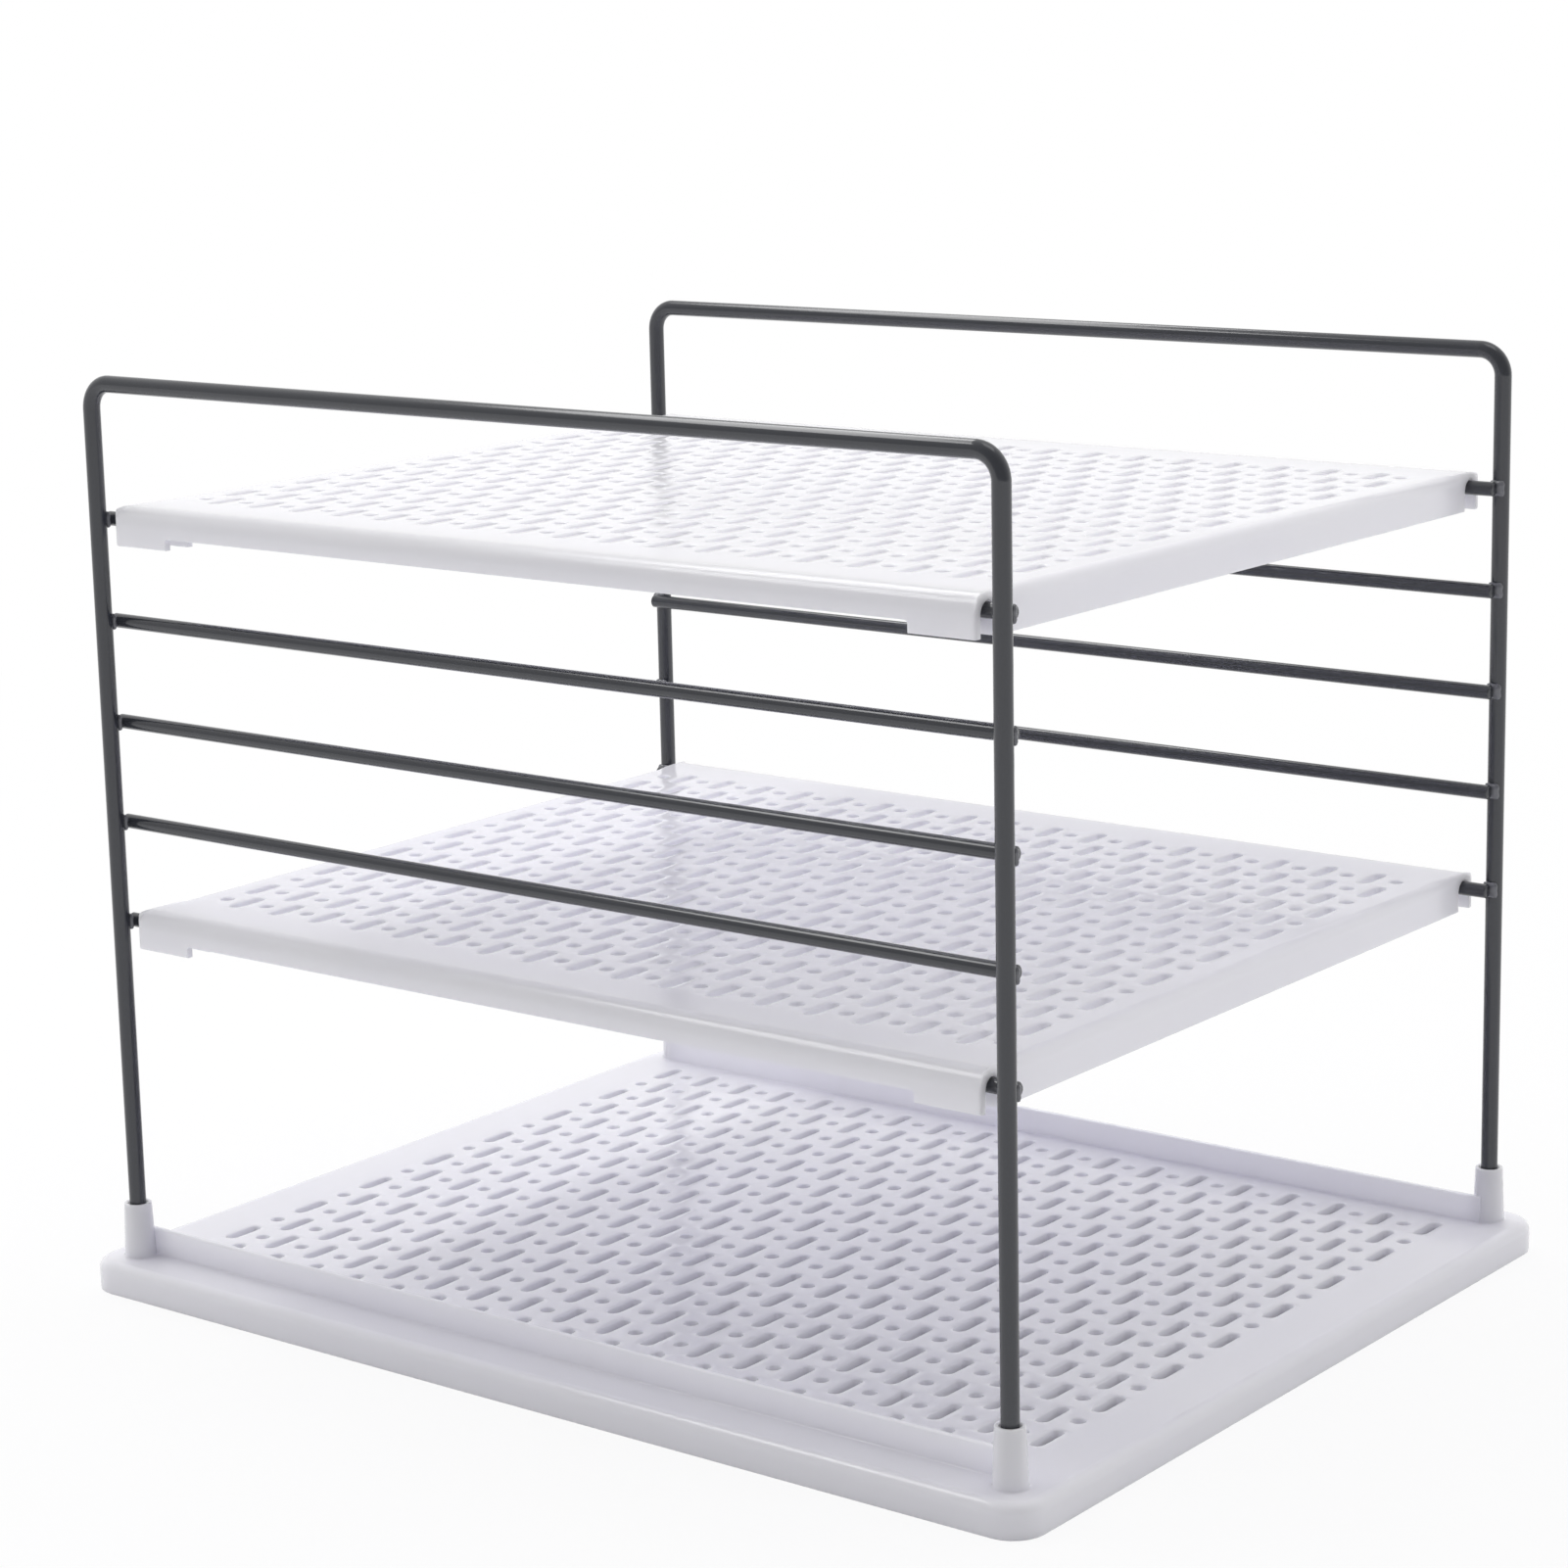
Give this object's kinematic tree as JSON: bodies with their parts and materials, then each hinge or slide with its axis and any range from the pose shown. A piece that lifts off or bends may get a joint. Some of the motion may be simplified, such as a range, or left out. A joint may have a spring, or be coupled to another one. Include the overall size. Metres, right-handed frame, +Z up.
{
  "type": "three-tier storage shelf",
  "caption": "Free-standing storage shelf: perforated plastic base tray, bent wire side frames with welded rungs, and perforated shelves that hang on the rungs by clip channels.",
  "frame": {"origin": "middle of the base tray's underside, on the surface the shelf stands on", "axes": "+X from the left wire frame to the right one, +Y along the wire frames from the front to the back, +Z up"},
  "size_m": [0.2238, 0.2738, 0.221],
  "materials": {
    "white_plastic": "moulded, glossy white with a faint lavender tint",
    "grey_wire": "dark grey satin coat on steel wire"
  },
  "bodies": {
    "stand": {"base_tray": "white_plastic", "left_frame_wire": "grey_wire", "left_bar_1": "grey_wire", "left_bar_2": "grey_wire", "left_bar_3": "grey_wire", "left_bar_4": "grey_wire", "left_bar_5": "grey_wire", "right_frame_wire": "grey_wire", "right_bar_1": "grey_wire", "right_bar_2": "grey_wire", "right_bar_3": "grey_wire", "right_bar_4": "grey_wire", "right_bar_5": "grey_wire"},
    "top_shelf": {"top_shelf": "white_plastic"},
    "middle_shelf": {"middle_shelf": "white_plastic"}
  },
  "joints": [
    {"name": "top_shelf_lift", "type": "slide", "parent": "stand", "child": "top_shelf", "axis": [0, 0, 1], "range_m": [0, 0.0255]},
    {"name": "middle_shelf_lift", "type": "slide", "parent": "stand", "child": "middle_shelf", "axis": [0, 0, 1], "range_m": [0, 0.0175]}
  ]
}
